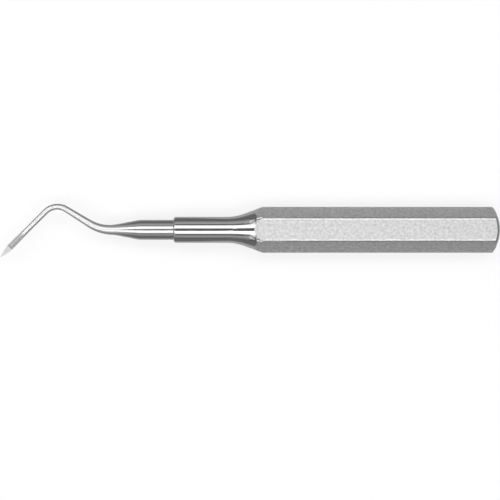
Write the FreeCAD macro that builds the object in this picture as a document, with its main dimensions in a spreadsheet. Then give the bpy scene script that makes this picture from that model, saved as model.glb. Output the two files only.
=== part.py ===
"""Root tip pick: a hexagonal handle turned down to a neck, and a bent working end held in its bore.

The handle lies along X on one of its flats, with the point towards -X and the bends in the XY plane.
Millimetres and degrees. The origin is the middle of the flat that the handle rests on.
"""
import FreeCAD, Part
import math
import os
import Sketcher

# Driving dimensions: name, value, what it measures
SIZES = (
    ("across_flats", 12.7, "hexagon bar, flat to flat"),
    ("hex_length", 73.1, "full hexagon, from the flare to the domed end"),
    ("hex_edge_round", 0.2, "rounding along the six long edges"),
    ("dome_radius", 12.7, "sphere that the rear end is turned to"),
    ("flare_angle", 20.5, "cone from the hexagon down to the neck, to the axis"),
    ("flare_blend", 16.5, "hollow between cone and neck"),
    ("neck_diameter", 8.25, "turned neck"),
    ("neck_length", 19.8, "neck, from its front face to the foot of the cone"),
    ("neck_edge_round", 0.75, "rounding of the neck's front edge"),
    ("tang_diameter", 4.0, "pin of the working end, held in the neck"),
    ("tang_length", 14.0, "depth of the pin in the neck"),
    ("tang_chamfer", 0.5, "lead on the pin's end"),
    ("bore_clearance", 0.005, "play all round the pin in its bore"),
    ("bore_spare", 1.0, "empty bore beyond the pin"),
    ("drill_angle", 118.0, "point of the drilled bore"),
    ("shaft_diameter", 6.35, "straight shaft ahead of the neck"),
    ("shaft_length", 11.1, "straight shaft, from its shoulder to the taper"),
    ("taper_length", 7.55, "steep taper ahead of the shaft"),
    ("taper_end_diameter", 3.36, "small end of the steep taper"),
    ("taper_shoulder_blend", 10.0, "crown between shaft and taper"),
    ("taper_root_blend", 15.0, "hollow between taper and shank"),
    ("root_length", 1.25, "last straight stretch before the rear bend"),
    ("root_diameter", 3.2, "shank where the rear bend starts"),
    ("rear_rise", 31.7, "rear arm, to the handle's axis"),
    ("rear_bend", 13.3, "radius of the rear bend"),
    ("rear_arm", 8.65, "straight stretch between the two bends"),
    ("rear_arm_start_diameter", 2.48, "shank after the rear bend"),
    ("rear_arm_end_diameter", 1.98, "shank before the tip bend"),
    ("tip_drop", 45.0, "tip arm, to the handle's axis"),
    ("tip_bend", 5.4, "radius of the tip bend"),
    ("tip_arm", 20.35, "tip arm, from its bend to the point"),
    ("tip_arm_diameter", 1.86, "shank after the tip bend"),
    ("waist_diameter", 1.72, "slimmest place, behind the blade"),
    ("waist_from_tip", 12.0, "waist, to the point"),
    ("waist_blend", 40.0, "hollow of the waist, and crown of the blade's blank"),
    ("blade_diameter", 1.96, "round blank that the blade is ground from"),
    ("blade_length", 7.5, "even part of the blank, to the point"),
    ("ridge_slope", 5.0, "fall of the ridge towards the point"),
    ("ridge_width", 0.14, "narrow land along the ridge"),
    ("ridge_height", 0.45, "ridge over the axis where the lancet starts"),
    ("flank_angle", 32.0, "flanks beside the ridge, to level"),
    ("lancet_length", 4.2, "lancet point"),
    ("lancet_end_width", 0.12, "blunt end of the lancet"),
    ("lancet_bow", 40.0, "radius of the lancet's bowed sides"),
    ("lancet_face_drop", 0.12, "lancet's top face under the axis, where it starts"),
    ("lancet_face_slope", 5.3, "fall of the top face towards the point"),
    ("lancet_step_angle", 38.0, "small step up from the top face to the ridge"),
    ("heel_length", 6.5, "relief under the blade"),
    ("heel_slope", 3.3, "rise of the relief towards the point"),
)

# Turned profiles are drawn below the axis, so that the seam of each surface faces down
UNDERSIDE = "placement(vector(0; 0; 0); rotation(0; 0; 180))"

# Radii and places of the handle, as expressions on the sheet
NECK_RADIUS = "Sizes.neck_diameter / 2"
CORNER_RADIUS = "(Sizes.across_flats / sqrt(3))"
BORE_RADIUS = "(Sizes.tang_diameter / 2 + Sizes.bore_clearance)"
AXIS_HEIGHT = "Sizes.across_flats / 2"
FLARE_TOP = "(-Sizes.hex_length / 2)"
FLARE_FOOT = f"({FLARE_TOP} - ({CORNER_RADIUS} - {NECK_RADIUS}) / tan(Sizes.flare_angle * 1 deg))"
SEAT = f"({FLARE_FOOT} - Sizes.neck_length)"
DOME_CENTRE = f"(Sizes.hex_length / 2 - sqrt(Sizes.dome_radius ^ 2 - {CORNER_RADIUS} ^ 2))"
DOME_APEX = f"({DOME_CENTRE} + Sizes.dome_radius)"
BAR_SPARE = "Sizes.across_flats / 8"

# Places along the working end, from its shoulder on the neck's front face
RISE = "(Sizes.rear_rise * 1 deg)"
DROP = "(Sizes.tip_drop * 1 deg)"
TAPER_TOP = "(-Sizes.shaft_length)"
TAPER_FOOT = f"({TAPER_TOP} - Sizes.taper_length)"
REAR_BEND_START = (f"({TAPER_FOOT} - Sizes.root_length)", "0")
REAR_ARM_START = (
    f"({REAR_BEND_START[0]} - Sizes.rear_bend * sin({RISE}))",
    f"(Sizes.rear_bend * (1 - cos({RISE})))",
)
REAR_ARM_END = (
    f"({REAR_ARM_START[0]} - Sizes.rear_arm * cos({RISE}))",
    f"({REAR_ARM_START[1]} + Sizes.rear_arm * sin({RISE}))",
)
TIP_ARM_START = (
    f"({REAR_ARM_END[0]} - Sizes.tip_bend * (sin({RISE}) + sin({DROP})))",
    f"({REAR_ARM_END[1]} - Sizes.tip_bend * (cos({RISE}) - cos({DROP})))",
)
POINT = (
    f"({TIP_ARM_START[0]} - Sizes.tip_arm * cos({DROP}))",
    f"({TIP_ARM_START[1]} - Sizes.tip_arm * sin({DROP}))",
)
TIP_SIDE_VIEW = f"placement(vector({POINT[0]}; 0; -{POINT[1]}); rotation(0; Sizes.tip_drop; 0))"
TIP_UNDERSIDE = f"placement(vector({POINT[0]}; 0; -{POINT[1]}); rotation(0; Sizes.tip_drop; 180))"
BLANK_RADIUS = "Sizes.blade_diameter / 2"
BLANK_CLEAR = "(Sizes.blade_diameter * 1.5)"

# Side that an arc bows to, seen along the outline: 1 is the left
RIGHT = -1


def make_sheet(doc):
    """Spreadsheet with one named number for each driving dimension."""
    sheet = doc.addObject("Spreadsheet::Sheet", "Sizes")
    for row, (name, value, meaning) in enumerate(SIZES, start=1):
        sheet.set(f"A{row}", name)
        sheet.set(f"B{row}", str(value))
        sheet.setAlias(f"B{row}", name)
        sheet.set(f"C{row}", meaning)
    doc.recompute()
    return sheet


def number(sheet, expression):
    """Value of an expression on the sheet, as a plain number."""
    result = sheet.evalExpression(expression)
    return float(getattr(result, "Value", result))


def vector(sheet, place):
    """Point in a sketch, from a place given as two expressions."""
    return FreeCAD.Vector(number(sheet, place[0]), number(sheet, place[1]), 0)


def make_body(doc, name, along_handle):
    """Body on the handle's axis, its origin moved along the handle."""
    body = doc.addObject("PartDesign::Body", name)
    body.Label = name
    body.setExpression("Placement.Base.x", along_handle)
    body.setExpression("Placement.Base.z", AXIS_HEIGHT)
    return body


def origin_item(body, role):
    """Origin plane or axis of a body."""
    return next(item for item in body.Origin.OriginFeatures if item.Role == role)


def make_sketch(body, name, plane, offset=None):
    """Sketch on an origin plane of its body, moved by an offset given as an expression."""
    sketch = body.newObject("Sketcher::SketchObject", name)
    sketch.AttachmentSupport = [(origin_item(body, plane), "")]
    sketch.MapMode = "FlatFace"
    if offset is not None:
        sketch.setExpression("AttachmentOffset", offset)
    return sketch


def bind(sketch, constraint, expression):
    """Add a constraint whose value follows an expression."""
    index = sketch.addConstraint(constraint)
    sketch.setExpression(f"Constraints[{index}]", expression)


def join(sketch, kind, first, second):
    """Join two ends, each an element and the number of its end."""
    sketch.addConstraint(Sketcher.Constraint(kind, *first, *second))


def pin(sheet, sketch, element, end, place):
    """Hold one end of an element at a place given as two expressions."""
    for kind, expression, axis in (("DistanceX", place[0], -2), ("DistanceY", place[1], -1)):
        if expression == "0":
            sketch.addConstraint(Sketcher.Constraint("PointOnObject", element, end, axis))
        else:
            value = number(sheet, expression)
            bind(sketch, Sketcher.Constraint(kind, element, end, value), expression)


def add_line(sketch, start, end):
    """Straight element, with the numbers of its first and last end."""
    return sketch.addGeometry(Part.LineSegment(start, end)), 1, 2


def add_arc(sheet, sketch, start, middle, end, radius):
    """Arc of a bound radius, with the numbers of its first and last end."""
    arc = sketch.addGeometry(Part.Arc(start, middle, end))
    bind(sketch, Sketcher.Constraint("Radius", arc, number(sheet, radius)), radius)
    if sketch.getPoint(arc, 1).distanceToPoint(start) < sketch.getPoint(arc, 2).distanceToPoint(start):
        return arc, 1, 2
    return arc, 2, 1


def add_bow(sheet, sketch, start, end, radius, side):
    """Shallow arc between two points that bows to one side."""
    value = number(sheet, radius)
    half_chord = (end - start).Length / 2
    bulge = value - math.sqrt(value ** 2 - half_chord ** 2)
    to_left = FreeCAD.Vector(start.y - end.y, end.x - start.x, 0).normalize()
    middle = (start + end) * 0.5 + to_left * (side * bulge)
    return add_arc(sheet, sketch, start, middle, end, radius)


def corner_arc(before, corner, after, radius):
    """Start, middle and end of the arc that rounds a corner."""
    back = (before - corner).normalize()
    ahead = (after - corner).normalize()
    half_angle = back.getAngle(ahead) / 2
    inward = (back + ahead).normalize()
    reach = radius / math.tan(half_angle)
    middle = corner + inward * (radius / math.sin(half_angle) - radius)
    return corner + back * reach, middle, corner + ahead * reach


def round_corner(sheet, sketch, before, after, ends, corner):
    """Round the corner between two elements, which still aim at the pinned corner."""
    arc, first, last = add_arc(sheet, sketch, *ends, corner[2])
    join(sketch, "Tangent", (before[0], before[2]), (arc, first))
    join(sketch, "Tangent", (arc, last), (after[0], after[1]))
    mark = sketch.addGeometry(Part.Point(vector(sheet, corner)), True)
    sketch.addConstraint(Sketcher.Constraint("PointOnObject", mark, 1, before[0]))
    sketch.addConstraint(Sketcher.Constraint("PointOnObject", mark, 1, after[0]))
    pin(sheet, sketch, mark, 1, corner)


def draw_outline(sheet, sketch, corners, bows=None):
    """Closed outline through corners, each (x, y) or, where it is rounded, (x, y, radius).

    bows maps the number of an edge, counted from the first corner, to its radius and side.
    """
    bows = bows or {}
    count = len(corners)
    points = [vector(sheet, corner) for corner in corners]
    arcs = {}
    for i, corner in enumerate(corners):
        if len(corner) == 3:
            following = points[(i + 1) % count]
            arcs[i] = corner_arc(points[i - 1], points[i], following, number(sheet, corner[2]))
    elements = []
    for i in range(count):
        j = (i + 1) % count
        start = arcs[i][2] if i in arcs else points[i]
        end = arcs[j][0] if j in arcs else points[j]
        if i in bows:
            elements.append(add_bow(sheet, sketch, start, end, *bows[i]))
        else:
            elements.append(add_line(sketch, start, end))
    for i, corner in enumerate(corners):
        before, after = elements[i - 1], elements[i]
        if i in arcs:
            round_corner(sheet, sketch, before, after, arcs[i], corner)
        else:
            join(sketch, "Coincident", (before[0], before[2]), (after[0], after[1]))
            pin(sheet, sketch, after[0], after[1], corner)


def turn(body, kind, name, sketch):
    """Sweep a sketch all the way round the body's X axis."""
    feature = body.newObject(kind, name)
    feature.Profile = sketch
    feature.ReferenceAxis = (origin_item(body, "X_Axis"), [""])
    feature.Angle = 360
    return feature


def make_bar(body, sheet):
    """Hexagon bar lying on a flat, a little longer than the handle at both ends."""
    section = make_sketch(body, "HexSection", "YZ_Plane",
                          f"placement(vector(0; 0; {SEAT} - {BAR_SPARE}); rotation(0; 0; 0))")
    corners = []
    for k in range(6):
        across = f"{CORNER_RADIUS} * cos({60 * k} deg)"
        up = f"{CORNER_RADIUS} * sin({60 * k} deg)" if k % 3 else "0"
        corners.append((across, up, "Sizes.hex_edge_round"))
    draw_outline(sheet, section, corners)
    bar = body.newObject("PartDesign::Pad", "Bar")
    bar.Profile = section
    bar.setExpression("Length", f"{DOME_APEX} - {SEAT} + 2 * {BAR_SPARE}")


def turn_neck(body, sheet):
    """Face the front end, and turn the neck and the cone down from the hexagon."""
    profile = make_sketch(body, "NeckProfile", "XZ_Plane", UNDERSIDE)
    outside = f"{CORNER_RADIUS} + {BAR_SPARE}"
    ahead = f"{SEAT} - 2 * {BAR_SPARE}"
    draw_outline(sheet, profile, [
        (SEAT, "0"),
        (SEAT, NECK_RADIUS, "Sizes.neck_edge_round"),
        (FLARE_FOOT, NECK_RADIUS, "Sizes.flare_blend"),
        (f"{FLARE_TOP} + {BAR_SPARE} / tan(Sizes.flare_angle * 1 deg)", outside),
        (ahead, outside),
        (ahead, "0"),
    ])
    turn(body, "PartDesign::Groove", "Neck", profile)


def turn_dome(body, sheet):
    """Turn the rear end to a shallow dome."""
    profile = make_sketch(body, "DomeProfile", "XZ_Plane", UNDERSIDE)
    outside = f"{CORNER_RADIUS} + {BAR_SPARE}"
    behind = f"{DOME_APEX} + 2 * {BAR_SPARE}"
    draw_outline(sheet, profile, [
        (DOME_APEX, "0"),
        (f"{DOME_CENTRE} + sqrt(Sizes.dome_radius ^ 2 - ({outside}) ^ 2)", outside),
        (behind, outside),
        (behind, "0"),
    ], bows={0: ("Sizes.dome_radius", RIGHT)})
    turn(body, "PartDesign::Groove", "Dome", profile)


def drill_bore(body, sheet):
    """Drill the blind bore that holds the pin of the working end."""
    profile = make_sketch(body, "BoreProfile", "XZ_Plane", UNDERSIDE)
    bottom = f"{SEAT} + Sizes.tang_length + Sizes.bore_spare"
    draw_outline(sheet, profile, [
        (SEAT, "0"),
        (SEAT, BORE_RADIUS),
        (bottom, BORE_RADIUS),
        (f"{bottom} + {BORE_RADIUS} / tan(Sizes.drill_angle / 2 * 1 deg)", "0"),
    ])
    turn(body, "PartDesign::Groove", "Bore", profile)


def make_handle(doc, sheet):
    """Hexagon bar with a domed rear end, a coned and turned neck and a blind bore."""
    body = make_body(doc, "hex_handle", "0")
    make_bar(body, sheet)
    turn_neck(body, sheet)
    turn_dome(body, sheet)
    drill_bore(body, sheet)
    doc.recompute()
    return body


def turn_shaft(body, sheet):
    """Pin, shoulder, straight shaft and taper, turned on the handle's axis."""
    profile = make_sketch(body, "ShaftProfile", "XZ_Plane", UNDERSIDE)
    pin_radius = "Sizes.tang_diameter / 2"
    draw_outline(sheet, profile, [
        (REAR_BEND_START[0], "0"),
        (REAR_BEND_START[0], "Sizes.root_diameter / 2"),
        (TAPER_FOOT, "Sizes.taper_end_diameter / 2", "Sizes.taper_root_blend"),
        (TAPER_TOP, "Sizes.shaft_diameter / 2", "Sizes.taper_shoulder_blend"),
        ("0", "Sizes.shaft_diameter / 2"),
        ("0", pin_radius),
        ("Sizes.tang_length - Sizes.tang_chamfer", pin_radius),
        ("Sizes.tang_length", f"{pin_radius} - Sizes.tang_chamfer"),
        ("Sizes.tang_length", "0"),
    ])
    turn(body, "PartDesign::Revolution", "Shaft", profile)


def draw_shank_path(sheet, sketch):
    """Centreline of the swept shank: rear bend, rear arm and tip bend, each tangent to the next."""
    rise = math.radians(number(sheet, "Sizes.rear_rise"))
    drop = math.radians(number(sheet, "Sizes.tip_drop"))
    rear_radius = number(sheet, "Sizes.rear_bend")
    tip_radius = number(sheet, "Sizes.tip_bend")
    places = (REAR_BEND_START, REAR_ARM_START, REAR_ARM_END, TIP_ARM_START)
    bend_start, rear_start, rear_end, tip_start = [vector(sheet, place) for place in places]
    rear_centre = bend_start + FreeCAD.Vector(0, rear_radius, 0)
    rear_middle = rear_centre - FreeCAD.Vector(math.sin(rise / 2), math.cos(rise / 2), 0) * rear_radius
    tip_centre = rear_end - FreeCAD.Vector(math.sin(rise), math.cos(rise), 0) * tip_radius
    crest = (rise - drop) / 2
    tip_middle = tip_centre + FreeCAD.Vector(math.sin(crest), math.cos(crest), 0) * tip_radius
    rear_bend, rear_first, rear_last = add_arc(
        sheet, sketch, bend_start, rear_middle, rear_start, "Sizes.rear_bend")
    rear_arm = add_line(sketch, rear_start, rear_end)[0]
    tip_bend, tip_first, tip_last = add_arc(
        sheet, sketch, rear_end, tip_middle, tip_start, "Sizes.tip_bend")
    join(sketch, "Vertical", (rear_bend, rear_first), (rear_bend, 3))
    join(sketch, "Tangent", (rear_bend, rear_last), (rear_arm, 1))
    join(sketch, "Tangent", (rear_arm, 2), (tip_bend, tip_first))
    pin(sheet, sketch, rear_bend, rear_first, REAR_BEND_START)
    pin(sheet, sketch, rear_arm, 2, REAR_ARM_END)
    bind(sketch, Sketcher.Constraint("DistanceX", tip_bend, tip_last, tip_start.x), TIP_ARM_START[0])


def draw_shank_section(body, sheet, name, place, heading, diameter):
    """Round section of the shank, square to its centreline at a place."""
    offset = f"placement(vector({place[1]}; 0; {place[0]}); rotation(0; {heading}; 0))"
    sketch = make_sketch(body, name, "YZ_Plane", offset)
    radius = number(sheet, diameter) / 2
    circle = sketch.addGeometry(Part.Circle(FreeCAD.Vector(0, 0, 0), FreeCAD.Vector(0, 0, 1), radius))
    join(sketch, "Coincident", (circle, 3), (-1, 1))
    bind(sketch, Sketcher.Constraint("Radius", circle, radius), f"{diameter} / 2")
    return sketch


def sweep_shank(body, sheet):
    """Round shank swept from the taper round both bends, through a section at each end of an arm."""
    path = make_sketch(body, "ShankPath", "XY_Plane")
    draw_shank_path(sheet, path)
    rear, tip = "-Sizes.rear_rise", "Sizes.tip_drop"
    stations = (
        ("RearBendStart", REAR_BEND_START, "0", "Sizes.root_diameter"),
        ("RearArmStart", REAR_ARM_START, rear, "Sizes.rear_arm_start_diameter"),
        ("RearArmEnd", REAR_ARM_END, rear, "Sizes.rear_arm_end_diameter"),
        ("TipArmStart", TIP_ARM_START, tip, "Sizes.tip_arm_diameter"),
    )
    sections = [draw_shank_section(body, sheet, *station) for station in stations]
    shank = body.newObject("PartDesign::AdditivePipe", "Shank")
    shank.Profile = sections[0]
    shank.Spine = (path, [""])
    shank.Sections = [(section, [""]) for section in sections[1:]]
    shank.Transformation = "Multisection"


def turn_tip_arm(body, sheet):
    """Straight tip arm, waisted behind the blank of the blade and square to the tip bend."""
    profile = make_sketch(body, "TipArmProfile", "XZ_Plane", TIP_UNDERSIDE)
    draw_outline(sheet, profile, [
        ("0", "0"),
        ("0", BLANK_RADIUS),
        ("Sizes.blade_length", BLANK_RADIUS, "Sizes.waist_blend"),
        ("Sizes.waist_from_tip", "Sizes.waist_diameter / 2", "Sizes.waist_blend"),
        ("Sizes.tip_arm", "Sizes.tip_arm_diameter / 2"),
        ("Sizes.tip_arm", "0"),
    ])
    arm = turn(body, "PartDesign::Revolution", "TipArm", profile)
    arm.ReferenceAxis = (profile, ["H_Axis"])


def cut_through(body, name, sketch):
    """Cut an outline away right through, to both sides of its sketch."""
    cut = body.newObject("PartDesign::Pocket", name)
    cut.Profile = sketch
    cut.Type = "ThroughAll"
    cut.SideType = "Symmetric"


def grind_ridge(body, sheet):
    """Two flanks and the narrow land between them, ground along the top of the blade."""
    sketch = make_sketch(
        body, "RidgeProfile", "YZ_Plane",
        f"placement(vector({POINT[1]}; 0; {POINT[0]}); rotation(0; Sizes.tip_drop; -Sizes.ridge_slope))")
    ridge = "(Sizes.ridge_height - Sizes.lancet_length * tan(Sizes.ridge_slope * 1 deg))"
    land = "Sizes.ridge_width / 2"
    foot = f"{ridge} - ({BLANK_CLEAR} - {land}) * tan(Sizes.flank_angle * 1 deg)"
    draw_outline(sheet, sketch, [
        (f"-{BLANK_CLEAR}", foot),
        (f"-{land}", ridge),
        (land, ridge),
        (BLANK_CLEAR, foot),
        (BLANK_CLEAR, BLANK_CLEAR),
        (f"-{BLANK_CLEAR}", BLANK_CLEAR),
    ])
    cut = body.newObject("PartDesign::Pocket", "Ridge")
    cut.Profile = sketch
    cut.Reversed = True
    cut.setExpression("Length", "Sizes.waist_from_tip")


def grind_lancet_face(body, sheet):
    """Top face of the lancet, with a small step up to the ridge."""
    sketch = make_sketch(body, "LancetFaceProfile", "XZ_Plane", TIP_SIDE_VIEW)
    start = "(-Sizes.lancet_face_drop)"
    end = f"{start} - (Sizes.lancet_length + {BLANK_CLEAR}) * tan(Sizes.lancet_face_slope * 1 deg)"
    step = f"({BLANK_CLEAR} - {start}) / tan(Sizes.lancet_step_angle * 1 deg)"
    draw_outline(sheet, sketch, [
        (f"-{BLANK_CLEAR}", end),
        ("Sizes.lancet_length", start),
        (f"Sizes.lancet_length + {step}", BLANK_CLEAR),
        (f"-{BLANK_CLEAR}", BLANK_CLEAR),
    ])
    cut_through(body, "LancetFace", sketch)


def grind_heel(body, sheet):
    """Relief under the blade, rising towards the point."""
    sketch = make_sketch(body, "HeelProfile", "XZ_Plane", TIP_SIDE_VIEW)
    rise = f"(Sizes.heel_length + {BLANK_CLEAR}) * tan(Sizes.heel_slope * 1 deg)"
    draw_outline(sheet, sketch, [
        ("Sizes.heel_length", f"-{BLANK_RADIUS}"),
        (f"-{BLANK_CLEAR}", f"{rise} - {BLANK_RADIUS}"),
        (f"-{BLANK_CLEAR}", f"-{BLANK_CLEAR}"),
        ("Sizes.heel_length", f"-{BLANK_CLEAR}"),
    ])
    cut_through(body, "Heel", sketch)


def grind_lancet_sides(body, sheet):
    """Bowed sides of the lancet, seen from above, running out to its narrow end."""
    sketch = make_sketch(
        body, "LancetProfile", "XY_Plane",
        f"placement(vector({POINT[0]}; {POINT[1]}; 0); rotation(Sizes.tip_drop; 0; 0))")
    end = "Sizes.lancet_end_width / 2"
    draw_outline(sheet, sketch, [
        ("Sizes.lancet_length", BLANK_RADIUS),
        ("0", end),
        ("0", f"-{end}"),
        ("Sizes.lancet_length", f"-{BLANK_RADIUS}"),
        ("Sizes.lancet_length", f"-{BLANK_CLEAR}"),
        (f"-{BLANK_CLEAR}", f"-{BLANK_CLEAR}"),
        (f"-{BLANK_CLEAR}", BLANK_CLEAR),
        ("Sizes.lancet_length", BLANK_CLEAR),
    ], bows={0: ("Sizes.lancet_bow", RIGHT), 2: ("Sizes.lancet_bow", RIGHT)})
    cut_through(body, "LancetSides", sketch)


def make_working_end(doc, sheet):
    """Turned pin and shaft, then the bent shank and its ground point."""
    body = make_body(doc, "working_end", SEAT)
    turn_shaft(body, sheet)
    sweep_shank(body, sheet)
    turn_tip_arm(body, sheet)
    doc.recompute()
    grind_ridge(body, sheet)
    grind_lancet_face(body, sheet)
    grind_heel(body, sheet)
    grind_lancet_sides(body, sheet)
    doc.recompute()
    return body


def check(doc, bodies):
    """Stop if an object failed, a body is not one valid solid, or a cut took nothing away."""
    for item in doc.Objects:
        if "Invalid" in item.State or "Error" in item.State:
            raise RuntimeError(f"{item.Name} failed: {item.State}")
        if item.TypeId in ("PartDesign::Pocket", "PartDesign::Groove"):
            if item.Shape.Volume >= item.BaseFeature.Shape.Volume:
                raise RuntimeError(f"{item.Name} cuts nothing")
    for body in bodies:
        if body.Shape.isNull() or not body.Shape.isValid() or len(body.Shape.Solids) != 1:
            raise RuntimeError(f"{body.Label} is not one valid solid")


def main():
    """Build both pieces and write one file for each."""
    os.makedirs("parts", exist_ok=True)
    doc = FreeCAD.newDocument("root_tip_pick")
    sheet = make_sheet(doc)
    bodies = [make_handle(doc, sheet), make_working_end(doc, sheet)]
    check(doc, bodies)
    for body in bodies:
        body.Shape.exportStep(f"parts/{body.Label}.step")


main()
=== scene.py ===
"""Finishes and studio for a root tip pick, laid over its two steel pieces.

The flats of the hexagonal handle are bead-blasted. The neck, the cone, the domed end and the working
end are polished, and the blade is ground. The handle lies along X, with the point towards -X.
Lengths are metres unless a name ends in _MM, and angles are degrees.
"""

import math

import bpy
from bpy.props import FloatProperty, FloatVectorProperty, PointerProperty
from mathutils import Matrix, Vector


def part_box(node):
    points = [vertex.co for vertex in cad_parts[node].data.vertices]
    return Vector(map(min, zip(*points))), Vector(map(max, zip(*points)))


bl_info = {
    "name": "Root Tip Pick Finishes",
    "version": (1, 0, 0),
    "blender": (4, 5, 0),
    "location": "View3D > Sidebar > Root Tip Pick",
    "description": "Steel finishes, floor, lamps and camera for a root tip pick",
    "category": "Material",
}

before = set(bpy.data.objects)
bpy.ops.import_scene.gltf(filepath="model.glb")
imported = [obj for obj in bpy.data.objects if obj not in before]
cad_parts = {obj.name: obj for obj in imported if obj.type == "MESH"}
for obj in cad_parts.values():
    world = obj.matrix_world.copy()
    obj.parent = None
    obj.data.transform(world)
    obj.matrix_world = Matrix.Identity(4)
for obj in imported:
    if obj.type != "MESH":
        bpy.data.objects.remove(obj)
bpy.context.view_layer.update()

HANDLE = "hex_handle"
WORKING_END = "working_end"
HANDLE_LOW, HANDLE_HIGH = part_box(HANDLE)
WORKING_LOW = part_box(WORKING_END)[0]

MM = 0.001
PER_MM = 1 / MM
ACROSS_FLATS_MM = (HANDLE_HIGH.z - HANDLE_LOW.z) * PER_MM
AXIS_HEIGHT_MM = ACROSS_FLATS_MM / 2
POINT_MM = (WORKING_LOW.x * PER_MM, WORKING_LOW.y * PER_MM, AXIS_HEIGHT_MM)

# Blade, measured from the point along the tip arm
TIP_DROP = 45.0
BLANK_RADIUS_MM = 0.98
WAIST_RADIUS_MM = 0.86
BLANK_END_MM = 7.5
WAIST_END_MM = 12.0
GROUND_END_MM = (11.0, 12.0)
GROUND_DEPTH_MM = (0.03, 0.05)
GROUND_GRAIN_MM = 0.15
GROUND_GRAIN_DEPTH_MM = 0.002
GROUND_CONTRAST = 0.15

# The second, finer size of a grain
FINE_GRAIN = 2.7

# Marks of polishing
HAIRLINES_PER_MM = 3.0
HAIRLINE_HEIGHT_MM = 0.0006
CLOUDS_PER_MM = 0.35
CLOUD_ROUGHNESS = 0.05

# Span, counted from the point, over which the bright polish of the shaft gives way to that of the arms,
# whose lighter steel is a painted highlight
ARM_POLISH_MM = (35.0, 44.0)
ARM_MARKS = 0.15

# Depth under the flats over which blasted steel gives way to turned steel
TURNED_DEPTH_MM = (0.012, 0.03)

# Turn of the surface at a long edge, out of the 60 degrees between two flats, and how much smoother it is
EDGE_TILT = 29.0
BURNISH = 0.35

# Blasting starts on one line across the end of the cone. Just ahead of it, polishing has drawn the cone
# beside each long edge towards the flats, by a share of its depth under them.
BLAST_START_MM = (-38.7, -38.3)
BLEND_START_MM = (-41.0, -38.4)
BLEND_END_MM = (-30.0, -28.0)
BLEND_WIDTH_MM = 2.4
BLEND_SHARE = 0.22

# Painted pool of light on the floor, which only the steel sees: half widths at the working end and at the
# handle, its shift at the handle, the X range of the change, its far edge, and the shares of the half width
# between which it fades out
PAINTED_POOL_HALF_WIDTHS_MM = (13.0, 34.0)
PAINTED_POOL_SHIFT_MM = 5.0
PAINTED_POOL_FLARE_MM = (-62.0, -30.0)
PAINTED_POOL_END_MM = (41.0, 50.0)
PAINTED_POOL_FADE = (0.8, 1.4)

# Distance over which the object's shadow fades out
SHADOW_FADE_MM = (150.0, 700.0)

# Overhead panels: X range, angles from straight up, and share of the softbox level
SOFTBOX_HEIGHT = 2.0
SOFTBOXES = (
    ("Far Softbox", -2.2, 1.6, 13.0, 32.5, 1.0),
    ("Far Softbox Edge", -2.2, 1.6, 32.5, 40.0, 0.45),
    ("Near Softbox", -2.2, 1.6, -31.0, -11.5, 1.0),
    ("Near Softbox Edge", -2.2, 1.6, -38.0, -31.0, 0.45),
    ("Far Inner Softbox", -0.92, -0.58, 9.5, 13.0, 0.65),
    ("Near Inner Softbox", -0.62, -0.3, -11.5, -7.8, 0.75),
)

# Upright panels: direction on the floor, length, shift, angles from straight up, share of the fill level
FILL_DISTANCE = 3.0
FILLS = (
    ("Far Fill", 90, 5.0, 1.0, 52.0, 68.0, 1.0),
    ("Far Low Fill", 90, 5.0, 1.0, 68.0, 82.0, 0.55),
    ("Near Fill", -90, 6.0, -0.5, 52.0, 68.0, 0.84),
    ("Near Low Fill", -90, 6.0, -0.5, 68.0, 82.0, 0.3),
    ("End Fill", 180, 6.0, 0.0, 50.0, 80.0, 1.4),
)

FLOOR_HALF = 4.0
BOARD_GRAIN_MM = 1.5
BOARD_CONTRAST = 0.01

CAMERA_X = -0.04061
CAMERA_Y = -0.00644
SENSOR = 36.0
VIEW_WIDTH = 0.1594
CLIP_START = 0.01
CLIP_END = 20.0


class HandleFinish(bpy.types.PropertyGroup):
    """Finish of the hexagonal handle"""

    steel: FloatVectorProperty(
        name="Blasted Steel", description="Colour of the blasted flats",
        subtype="COLOR", size=3, min=0, max=1, default=(0.566, 0.566, 0.566))
    blast_roughness: FloatProperty(
        name="Blast Roughness", description="Roughness of the blasted flats",
        subtype="FACTOR", min=0, max=1, default=0.55)
    grain_size: FloatProperty(
        name="Grain Size", description="Size of the dimples that the blasting leaves",
        subtype="DISTANCE", min=0.00005, max=0.002, default=0.0009, precision=5)
    grain_depth: FloatProperty(
        name="Grain Depth", description="Depth of the dimples that the blasting leaves",
        subtype="DISTANCE", min=0, max=0.001, default=0.00002, precision=6)
    grain_contrast: FloatProperty(
        name="Grain Contrast", description="How much the blasted grain lightens and darkens the steel",
        subtype="FACTOR", min=0, max=1, default=0.72)
    edge_width: FloatProperty(
        name="Edge Width", description="Width of the burnished band beside each long edge",
        subtype="DISTANCE", min=0, max=0.002, default=0.0006, precision=5)


class PolishFinish(bpy.types.PropertyGroup):
    """Polish of the turned and bent steel, and the grinding of the blade"""

    steel: FloatVectorProperty(
        name="Polished Steel", description="Colour of the polished steel",
        subtype="COLOR", size=3, min=0, max=1, default=(0.48, 0.48, 0.48))
    roughness: FloatProperty(
        name="Polish Roughness", description="Roughness of the polished steel",
        subtype="FACTOR", min=0, max=1, default=0.07)
    shaft_roughness: FloatProperty(
        name="Shaft Roughness", description="Roughness of the straight shaft ahead of the neck",
        subtype="FACTOR", min=0, max=1, default=0.18)
    # The arms' steel is lighter than the polished steel of the shaft: a painted highlight
    arm_painted_highlight_steel: FloatVectorProperty(
        name="Arm Steel With Painted Highlight", description="Colour of the slim arms",
        subtype="COLOR", size=3, min=0, max=1, default=(0.61, 0.61, 0.61))
    arm_roughness: FloatProperty(
        name="Arm Roughness", description="Roughness of the slim arms, which are polished less brightly",
        subtype="FACTOR", min=0, max=1, default=0.38)
    ground_steel: FloatVectorProperty(
        name="Ground Steel", description="Colour of the ground faces of the blade",
        subtype="COLOR", size=3, min=0, max=1, default=(0.57, 0.57, 0.57))
    ground_roughness: FloatProperty(
        name="Ground Roughness", description="Roughness of the ground faces of the blade",
        subtype="FACTOR", min=0, max=1, default=0.6)


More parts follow.
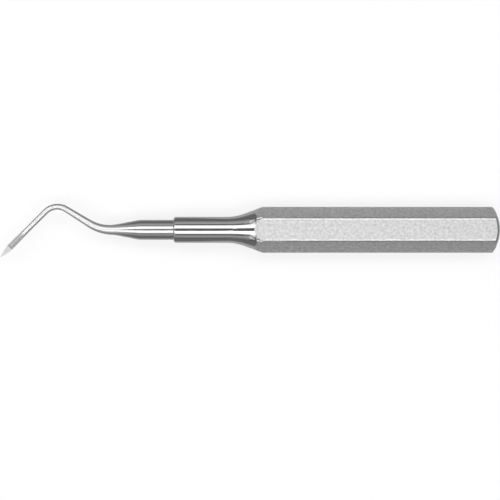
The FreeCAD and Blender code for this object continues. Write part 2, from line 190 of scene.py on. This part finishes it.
class StudioSetup(bpy.types.PropertyGroup):
    """Floor, lamps and camera"""

    background_colour: FloatVectorProperty(
        name="Background Colour", description="Colour of the floor and the room as the camera sees them",
        subtype="COLOR", size=3, min=0, max=1, default=(1, 1, 1))
    # Painted pool of light on the floor, seen only in the steel: lighter under and beside the object, dim
    # further out
    painted_pool_colour: FloatVectorProperty(
        name="Painted Light Pool Colour",
        description="Colour of the floor under and beside the object, as the steel sees it",
        subtype="COLOR", size=3, min=0, max=1, default=(0.6, 0.6, 0.6))
    painted_dim_floor_colour: FloatVectorProperty(
        name="Painted Dim Floor Colour", description="Colour of the floor further out, as the steel sees it",
        subtype="COLOR", size=3, min=0, max=1, default=(0.15, 0.15, 0.15))
    surround_colour: FloatVectorProperty(
        name="Surround Colour", description="Colour of the room, as the steel sees it",
        subtype="COLOR", size=3, min=0, max=1, default=(0.08, 0.08, 0.08))
    mirrored_share: FloatProperty(
        name="Mirrored Share", description="Share of the background colour that shows in the steel",
        subtype="FACTOR", min=0, max=1, default=0.12)
    shadow_share: FloatProperty(
        name="Shadow Share", description="Share of the object's shadow that the camera sees",
        subtype="FACTOR", min=0, max=1, default=0.25)
    softbox_level: FloatProperty(
        name="Softbox Level", description="Radiance of the softboxes overhead",
        min=0, max=20, default=2.9)
    fill_level: FloatProperty(
        name="Fill Level", description="Radiance of the upright panels round the floor",
        min=0, max=20, default=0.5)
    camera_height: FloatProperty(
        name="Camera Height", description="Height of the camera over the handle's axis",
        subtype="DISTANCE", min=0.1, max=2, default=0.4326)


def feed(tree, socket, value):
    """Link a node's input to another node's output, or set its value."""
    if isinstance(value, bpy.types.NodeSocket):
        tree.links.new(value, socket)
    else:
        socket.default_value = value


def add_node(tree, kind, inputs=None, **settings):
    """Add a node with its settings, and with inputs given by name or number."""
    node = tree.nodes.new(kind)
    for name, value in settings.items():
        setattr(node, name, value)
    for name, value in (inputs or {}).items():
        feed(tree, node.inputs[name], value)
    return node


def calc(tree, operation, *values):
    """Result of a math node."""
    inputs = dict(enumerate(values))
    return add_node(tree, "ShaderNodeMath", inputs, operation=operation).outputs[0]


def ramp(tree, value, start, end, low=0.0, high=1.0):
    """Smooth step from low to high while a value goes from start to end."""
    inputs = {"Value": value, "From Min": start, "From Max": end, "To Min": low, "To Max": high}
    return add_node(tree, "ShaderNodeMapRange", inputs, interpolation_type="SMOOTHSTEP").outputs[0]


def dot(tree, vector, direction):
    """Length of a vector along a direction."""
    inputs = {0: vector, 1: direction}
    return add_node(tree, "ShaderNodeVectorMath", inputs, operation="DOT_PRODUCT").outputs["Value"]


def blend_numbers(tree, factor, first, second):
    """Mix of two numbers."""
    return add_node(tree, "ShaderNodeMix", {"Factor": factor, "A": first, "B": second}).outputs[0]


def blend_colours(tree, factor, first, second):
    """Mix of two colours. Their sockets share names with those for numbers, so they go by place."""
    node = add_node(tree, "ShaderNodeMix", data_type="RGBA")
    for number, value in ((0, factor), (6, first), (7, second)):
        feed(tree, node.inputs[number], value)
    return node.outputs[2]


def scale(tree, vector, factor):
    """Vector or colour times a number."""
    inputs = {0: vector, "Scale": factor}
    return add_node(tree, "ShaderNodeVectorMath", inputs, operation="SCALE").outputs[0]


def place_mm(tree, origin=(0, 0, 0)):
    """Place on the object in millimetres, counted from an origin."""
    place = scale(tree, add_node(tree, "ShaderNodeTexCoord").outputs["Object"], PER_MM)
    return add_node(tree, "ShaderNodeVectorMath", {0: place, 1: origin}, operation="SUBTRACT").outputs[0]


def noise(tree, place, per_unit, detail):
    """Noise round one half, with so many patches per unit of place."""
    inputs = {"Vector": place, "Scale": per_unit, "Detail": detail}
    return add_node(tree, "ShaderNodeTexNoise", inputs).outputs[0]


def open_group(name, inputs, outputs):
    """New shader node group with named sockets: its tree, its input sockets and its output node."""
    tree = bpy.data.node_groups.new(name, "ShaderNodeTree")
    for label, kind, default in inputs:
        socket = tree.interface.new_socket(label, in_out="INPUT", socket_type=kind)
        socket.default_value = default
    for label, kind in outputs:
        tree.interface.new_socket(label, in_out="OUTPUT", socket_type=kind)
    return tree, add_node(tree, "NodeGroupInput").outputs, add_node(tree, "NodeGroupOutput")


def grain_group():
    """Fine grain of two sizes: brightness round zero, and height in the unit of Depth."""
    name = "Grain"
    if name in bpy.data.node_groups:
        return bpy.data.node_groups[name]
    tree, given, result = open_group(
        name,
        (("Place", "NodeSocketVector", (0, 0, 0)), ("Size", "NodeSocketFloat", 0.4),
         ("Depth", "NodeSocketFloat", 0.005)),
        (("Value", "NodeSocketFloat"), ("Height", "NodeSocketFloat")))
    per_unit = calc(tree, "DIVIDE", 1.0, given["Size"])
    coarse = noise(tree, given["Place"], per_unit, 2.0)
    fine = noise(tree, given["Place"], calc(tree, "MULTIPLY", per_unit, FINE_GRAIN), 1.0)
    value = calc(tree, "SUBTRACT", calc(tree, "ADD", coarse, fine), 1.0)
    feed(tree, result.inputs["Value"], value)
    feed(tree, result.inputs["Height"], calc(tree, "MULTIPLY", value, given["Depth"]))
    return tree


def polish_marks_group():
    """Hairlines and clouds that polishing leaves: roughness to add, and height in millimetres."""
    name = "Polish Marks"
    if name in bpy.data.node_groups:
        return bpy.data.node_groups[name]
    tree, given, result = open_group(
        name,
        (("Place", "NodeSocketVector", (0, 0, 0)), ("Strength", "NodeSocketFloat", 1.0)),
        (("Roughness", "NodeSocketFloat"), ("Height", "NodeSocketFloat")))
    clouds = calc(tree, "MULTIPLY", noise(tree, given["Place"], CLOUDS_PER_MM, 2.0), CLOUD_ROUGHNESS)
    feed(tree, result.inputs["Roughness"], calc(tree, "MULTIPLY", clouds, given["Strength"]))
    hairlines = calc(tree, "SUBTRACT", noise(tree, given["Place"], HAIRLINES_PER_MM, 3.0), 0.5)
    height = calc(tree, "MULTIPLY", hairlines, HAIRLINE_HEIGHT_MM)
    feed(tree, result.inputs["Height"], calc(tree, "MULTIPLY", height, given["Strength"]))
    return tree


def add_group(tree, group, **inputs):
    """Place a node group in a tree, with inputs by name."""
    node = add_node(tree, "ShaderNodeGroup", node_tree=group)
    for name, value in inputs.items():
        feed(tree, node.inputs[name.replace("_", " ").title()], value)
    return node.outputs


def open_material(name):
    """New material: its tree and its Principled shader."""
    material = bpy.data.materials.new(name)
    material.use_nodes = True
    tree = material.node_tree
    return material, tree, tree.nodes["Principled BSDF"]


def finish_steel(tree, shader, colour, roughness, height):
    """Feed the colour, roughness and height of bare steel into its shader."""
    bump = add_node(tree, "ShaderNodeBump", {"Height": height, "Distance": MM, "Strength": 1.0})
    feed(tree, shader.inputs["Base Color"], colour)
    feed(tree, shader.inputs["Roughness"], roughness)
    feed(tree, shader.inputs["Normal"], bump.outputs[0])
    shader.inputs["Metallic"].default_value = 1.0


def set_material(name, material):
    """Give a CAD node its material."""
    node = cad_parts[name]
    node.material_slots[0].material = material


def hexagon_distances(tree, place):
    """Depth under the flats, and distance from the nearest long edge, in millimetres."""
    directions = [(0, math.cos(math.radians(a)), math.sin(math.radians(a))) for a in (90, 30, -30)]
    first, second, third = [calc(tree, "ABSOLUTE", dot(tree, place, d)) for d in directions]
    largest = calc(tree, "MAXIMUM", calc(tree, "MAXIMUM", first, second), third)
    smallest = calc(tree, "MINIMUM", calc(tree, "MINIMUM", first, second), third)
    total = calc(tree, "ADD", calc(tree, "ADD", first, second), third)
    middle = calc(tree, "SUBTRACT", calc(tree, "SUBTRACT", total, largest), smallest)
    depth = calc(tree, "SUBTRACT", ACROSS_FLATS_MM / 2, largest)
    gap = calc(tree, "SUBTRACT", largest, middle)
    return depth, calc(tree, "DIVIDE", gap, math.sin(math.radians(60)))


def blended_cone(tree, along, depth, edge):
    """Height by which the end of the cone rises towards the flats, in millimetres."""
    start = ramp(tree, along, *BLEND_START_MM)
    span = calc(tree, "MULTIPLY", start, ramp(tree, along, *BLEND_END_MM, 1.0, 0.0))
    near = ramp(tree, edge, 0.0, BLEND_WIDTH_MM, 1.0, 0.0)
    share = calc(tree, "MULTIPLY", calc(tree, "MULTIPLY", near, span), BLEND_SHARE)
    return calc(tree, "MULTIPLY", calc(tree, "MAXIMUM", depth, 0.0), share)


def turned_mask(tree, along, depth):
    """1 on the turned neck, cone and dome, 0 on the flats."""
    ahead = ramp(tree, along, *BLAST_START_MM, 1.0, 0.0)
    behind = ramp(tree, along, *BLEND_END_MM)
    ends = calc(tree, "MAXIMUM", ahead, behind)
    return calc(tree, "MULTIPLY", ramp(tree, depth, *TURNED_DEPTH_MM), ends)


def edge_band(tree, edge, width):
    """1 on a long edge, going down evenly to 0 at a distance of the width."""
    return calc(tree, "MAXIMUM", calc(tree, "SUBTRACT", 1.0, calc(tree, "DIVIDE", edge, width)), 0.0)


def handle_material(finish, polish):
    """Blasted flats with burnished long edges, and polish on the turned neck, cone and dome."""
    material, tree, shader = open_material("Handle Steel")
    place = place_mm(tree, (0, 0, AXIS_HEIGHT_MM))
    depth, edge = hexagon_distances(tree, place)
    along = dot(tree, place, (1, 0, 0))
    turned = turned_mask(tree, along, depth)
    edge_width = finish.edge_width * PER_MM
    near_edge = edge_band(tree, edge, edge_width)
    grain = add_group(
        tree, grain_group(), place=place, size=finish.grain_size * PER_MM, depth=finish.grain_depth * PER_MM)
    marks = add_group(tree, polish_marks_group(), place=place, strength=1.0)

    grainy = calc(tree, "MULTIPLY_ADD", grain["Value"], finish.grain_contrast, 1.0)
    colour = blend_colours(tree, turned, scale(tree, tuple(finish.steel), grainy), (*polish.steel, 1))

    burnish = calc(tree, "POWER", near_edge, 0.5)
    blasted_rough = calc(tree, "MULTIPLY_ADD", burnish, -BURNISH, finish.blast_roughness)
    polished_rough = calc(tree, "ADD", marks["Roughness"], polish.roughness)
    roughness = blend_numbers(tree, turned, blasted_rough, polished_rough)

    edge_fall = edge_width * math.tan(math.radians(EDGE_TILT)) / 2
    fall = calc(tree, "MULTIPLY", calc(tree, "POWER", near_edge, 2.0), -edge_fall)
    height = blend_numbers(tree, turned, calc(tree, "ADD", grain["Height"], fall), marks["Height"])
    height = calc(tree, "ADD", height, blended_cone(tree, along, depth, edge))
    finish_steel(tree, shader, colour, roughness, height)
    return material


def ground_mask(tree, place):
    """1 on the ground faces of the blade, 0 on the round steel, for a place counted from the point."""
    angle = math.radians(TIP_DROP)
    along = dot(tree, place, (math.cos(angle), math.sin(angle), 0))
    across = dot(tree, place, (-math.sin(angle), math.cos(angle), 0))
    up = dot(tree, place, (0, 0, 1))
    squares = calc(tree, "ADD", calc(tree, "POWER", across, 2.0), calc(tree, "POWER", up, 2.0))
    blank = add_node(
        tree, "ShaderNodeMapRange",
        {"Value": along, "From Min": BLANK_END_MM, "From Max": WAIST_END_MM,
         "To Min": BLANK_RADIUS_MM, "To Max": WAIST_RADIUS_MM}).outputs[0]
    depth = calc(tree, "SUBTRACT", blank, calc(tree, "SQRT", squares))
    inside = ramp(tree, depth, *GROUND_DEPTH_MM)
    near_tip = ramp(tree, along, *GROUND_END_MM, 1.0, 0.0)
    return calc(tree, "MULTIPLY", inside, near_tip)


def working_end_material(polish):
    """Polished shaft and shank, and a ground blade."""
    material, tree, shader = open_material("Working End Steel")
    place = place_mm(tree, POINT_MM)
    ground = ground_mask(tree, place)
    shaft = ramp(tree, dot(tree, place, (1, 0, 0)), *ARM_POLISH_MM)
    strength = blend_numbers(tree, shaft, ARM_MARKS, 1.0)
    marks = add_group(tree, polish_marks_group(), place=place, strength=strength)
    grain = add_group(
        tree, grain_group(), place=place, size=GROUND_GRAIN_MM, depth=GROUND_GRAIN_DEPTH_MM)

    grainy = calc(tree, "MULTIPLY_ADD", grain["Value"], GROUND_CONTRAST, 1.0)
    # Lighter steel on the arms: a painted highlight
    polished = blend_colours(tree, shaft, (*polish.arm_painted_highlight_steel, 1), (*polish.steel, 1))
    colour = blend_colours(tree, ground, polished, scale(tree, tuple(polish.ground_steel), grainy))

    rough = blend_numbers(tree, shaft, polish.arm_roughness, polish.shaft_roughness)
    polished_rough = calc(tree, "ADD", marks["Roughness"], rough)
    roughness = blend_numbers(tree, ground, polished_rough, polish.ground_roughness)

    height = blend_numbers(tree, ground, marks["Height"], grain["Height"])
    finish_steel(tree, shader, colour, roughness, height)
    return material


def background_share(tree, mirrored_share):
    """1 for the camera's own rays, and the mirrored share for rays by way of metal or glass."""
    path = add_node(tree, "ShaderNodeLightPath").outputs
    through = calc(tree, "MAXIMUM", path["Is Glossy Ray"], path["Is Transmission Ray"])
    return calc(tree, "MAXIMUM", path["Is Camera Ray"], calc(tree, "MULTIPLY", through, mirrored_share))


def painted_light_pool_mask(tree):
    """1 on the painted pool of light, which is wider under the handle than under the neck and the working
    end.
    """
    place = add_node(tree, "ShaderNodeSeparateXYZ", {0: place_mm(tree)}).outputs
    half_width = ramp(tree, place["X"], *PAINTED_POOL_FLARE_MM, *PAINTED_POOL_HALF_WIDTHS_MM)
    middle = ramp(tree, place["X"], *PAINTED_POOL_FLARE_MM, 0.0, PAINTED_POOL_SHIFT_MM)
    offset = calc(tree, "ABSOLUTE", calc(tree, "SUBTRACT", place["Y"], middle))
    share = calc(tree, "DIVIDE", offset, half_width)
    across = ramp(tree, share, *PAINTED_POOL_FADE, 1.0, 0.0)
    return calc(tree, "MULTIPLY", across, ramp(tree, place["X"], *PAINTED_POOL_END_MM, 1.0, 0.0))


def plain_share(tree, shadow_share):
    """Share of the camera's view of the floor that no shadow darkens. It is all of it further out."""
    camera_ray = add_node(tree, "ShaderNodeLightPath").outputs["Is Camera Ray"]
    length = add_node(tree, "ShaderNodeVectorMath", {0: place_mm(tree)}, operation="LENGTH")
    plain = ramp(tree, length.outputs["Value"], *SHADOW_FADE_MM, 1 - shadow_share, 1.0)
    return calc(tree, "MULTIPLY", camera_ray, plain)


def floor_material(studio):
    """Matt board that the camera sees in the background colour, with a faint shadow. The steel sees a
    painted pool of light on it.
    """
    material, tree, shader = open_material("Floor Board")
    grain = add_group(tree, grain_group(), place=place_mm(tree), size=BOARD_GRAIN_MM)
    tone = calc(tree, "MULTIPLY_ADD", grain["Value"], BOARD_CONTRAST, 1.0)
    # Painted pool of light: lighter under and beside the object, dim further out, as the steel sees it
    under = blend_colours(tree, painted_light_pool_mask(tree), (*studio.painted_dim_floor_colour, 1), (*studio.painted_pool_colour, 1))
    seen = background_share(tree, studio.mirrored_share)
    colour = blend_colours(tree, seen, under, (*studio.background_colour, 1))
    feed(tree, shader.inputs["Base Color"], scale(tree, colour, tone))
    shader.inputs["Roughness"].default_value = 1.0
    shader.inputs["Specular IOR Level"].default_value = 0.0

    plain = add_node(tree, "ShaderNodeEmission", {"Color": (*studio.background_colour, 1), "Strength": 1.0})
    share = plain_share(tree, studio.shadow_share)
    mixed = add_node(tree, "ShaderNodeMixShader", {0: share, 1: shader.outputs[0], 2: plain.outputs[0]})
    feed(tree, tree.nodes["Material Output"].inputs["Surface"], mixed.outputs[0])
    return material


def add_floor(studio, half_size):
    """Square floor under the object."""
    mesh = bpy.data.meshes.new("Floor")
    corners = [(-half_size, -half_size, 0), (half_size, -half_size, 0),
               (half_size, half_size, 0), (-half_size, half_size, 0)]
    mesh.from_pydata(corners, [], [(0, 1, 2, 3)])
    floor = bpy.data.objects.new("Floor", mesh)
    bpy.context.scene.collection.objects.link(floor)
    floor.data.materials.append(floor_material(studio))


def add_panel_lamp(name, centre, size, turn, level):
    """Rectangular lamp of even radiance. It shines down, and turn tips it about X and then Z."""
    light = bpy.data.lights.new(name, "AREA")
    light.shape = "RECTANGLE"
    light.size, light.size_y = size
    light.energy = level * math.pi * size[0] * size[1]
    lamp = bpy.data.objects.new(name, light)
    lamp.location = centre
    lamp.rotation_euler = (math.radians(turn[0]), 0, math.radians(turn[1]))
    lamp.visible_camera = False
    bpy.context.scene.collection.objects.link(lamp)


def add_softboxes(level):
    """Long softboxes overhead, with a slot between them for the camera."""
    for name, left, right, first, last, share in SOFTBOXES:
        near, far = (SOFTBOX_HEIGHT * math.tan(math.radians(angle)) for angle in (first, last))
        middle = ((left + right) / 2, (near + far) / 2, SOFTBOX_HEIGHT)
        add_panel_lamp(name, middle, (right - left, far - near), (0, 0), share * level)


def add_fills(level):
    """Dim upright panels round the floor. Shift moves a panel to the left, as seen from the object."""
    for name, direction, length, shift, first, last, share in FILLS:
        top, foot = (FILL_DISTANCE / math.tan(math.radians(angle)) for angle in (first, last))
        turn = math.radians(direction)
        middle = (FILL_DISTANCE * math.cos(turn) - shift * math.sin(turn),
                  FILL_DISTANCE * math.sin(turn) + shift * math.cos(turn), (top + foot) / 2)
        add_panel_lamp(name, middle, (length, top - foot), (-90, direction - 90), share * level)


def set_world(studio):
    """Dim room that the camera sees in the background colour."""
    world = bpy.data.worlds.new("Surround")
    world.use_nodes = True
    tree = world.node_tree
    seen = background_share(tree, studio.mirrored_share)
    colour = blend_colours(tree, seen, (*studio.surround_colour, 1), (*studio.background_colour, 1))
    feed(tree, tree.nodes["Background"].inputs["Color"], colour)
    bpy.context.scene.world = world


def add_camera(height):
    """Camera that looks straight down on the whole object."""
    data = bpy.data.cameras.new("Camera")
    data.sensor_width = SENSOR
    data.lens = SENSOR * height / VIEW_WIDTH
    data.clip_start = CLIP_START
    data.clip_end = CLIP_END
    camera = bpy.data.objects.new("Camera", data)
    camera.location = (CAMERA_X, CAMERA_Y, AXIS_HEIGHT_MM * MM + height)
    bpy.context.scene.collection.objects.link(camera)
    bpy.context.scene.camera = camera


class ROOT_TIP_PICK_OT_finish_handle(bpy.types.Operator):
    """Blast the flats of the handle and polish its neck, cone and domed end"""

    bl_idname = "root_tip_pick.finish_handle"
    bl_label = "Finish Handle"

    def execute(self, context):
        scene = context.scene
        set_material(HANDLE, handle_material(scene.pick_handle, scene.pick_polish))
        return {"FINISHED"}


class ROOT_TIP_PICK_OT_finish_working_end(bpy.types.Operator):
    """Polish the shaft and shank and grind the blade"""

    bl_idname = "root_tip_pick.finish_working_end"
    bl_label = "Finish Working End"

    def execute(self, context):
        set_material(WORKING_END, working_end_material(context.scene.pick_polish))
        return {"FINISHED"}


class ROOT_TIP_PICK_OT_set_stage(bpy.types.Operator):
    """Lay the floor, hang the lamps and set the camera overhead"""

    bl_idname = "root_tip_pick.set_stage"
    bl_label = "Set Stage"

    def execute(self, context):
        studio = context.scene.pick_studio
        context.scene.view_settings.view_transform = "Standard"
        add_floor(studio, FLOOR_HALF)
        add_softboxes(studio.softbox_level)
        add_fills(studio.fill_level)
        set_world(studio)
        add_camera(studio.camera_height)
        return {"FINISHED"}


OPERATORS = (
    ROOT_TIP_PICK_OT_finish_handle,
    ROOT_TIP_PICK_OT_finish_working_end,
    ROOT_TIP_PICK_OT_set_stage,
)
SETTINGS = (("pick_handle", HandleFinish), ("pick_polish", PolishFinish), ("pick_studio", StudioSetup))


class ROOT_TIP_PICK_PT_finishes(bpy.types.Panel):
    """Steps and settings of the root tip pick"""

    bl_idname = "ROOT_TIP_PICK_PT_finishes"
    bl_label = "Root Tip Pick"
    bl_space_type = "VIEW_3D"
    bl_region_type = "UI"
    bl_category = "Root Tip Pick"

    def draw(self, context):
        for operator in OPERATORS:
            self.layout.operator(operator.bl_idname)
        for attribute, group in SETTINGS:
            box = self.layout.box()
            for setting in group.__annotations__:
                box.prop(getattr(context.scene, attribute), setting)


def register():
    for attribute, group in SETTINGS:
        bpy.utils.register_class(group)
        setattr(bpy.types.Scene, attribute, PointerProperty(type=group))
    for operator in OPERATORS:
        bpy.utils.register_class(operator)
    bpy.utils.register_class(ROOT_TIP_PICK_PT_finishes)


def unregister():
    bpy.utils.unregister_class(ROOT_TIP_PICK_PT_finishes)
    for operator in reversed(OPERATORS):
        bpy.utils.unregister_class(operator)
    for attribute, group in reversed(SETTINGS):
        delattr(bpy.types.Scene, attribute)
        bpy.utils.unregister_class(group)


def main():
    """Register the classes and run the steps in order."""
    register()
    bpy.ops.root_tip_pick.finish_handle()
    bpy.ops.root_tip_pick.finish_working_end()
    bpy.ops.root_tip_pick.set_stage()


if __name__ == "__main__":
    main()
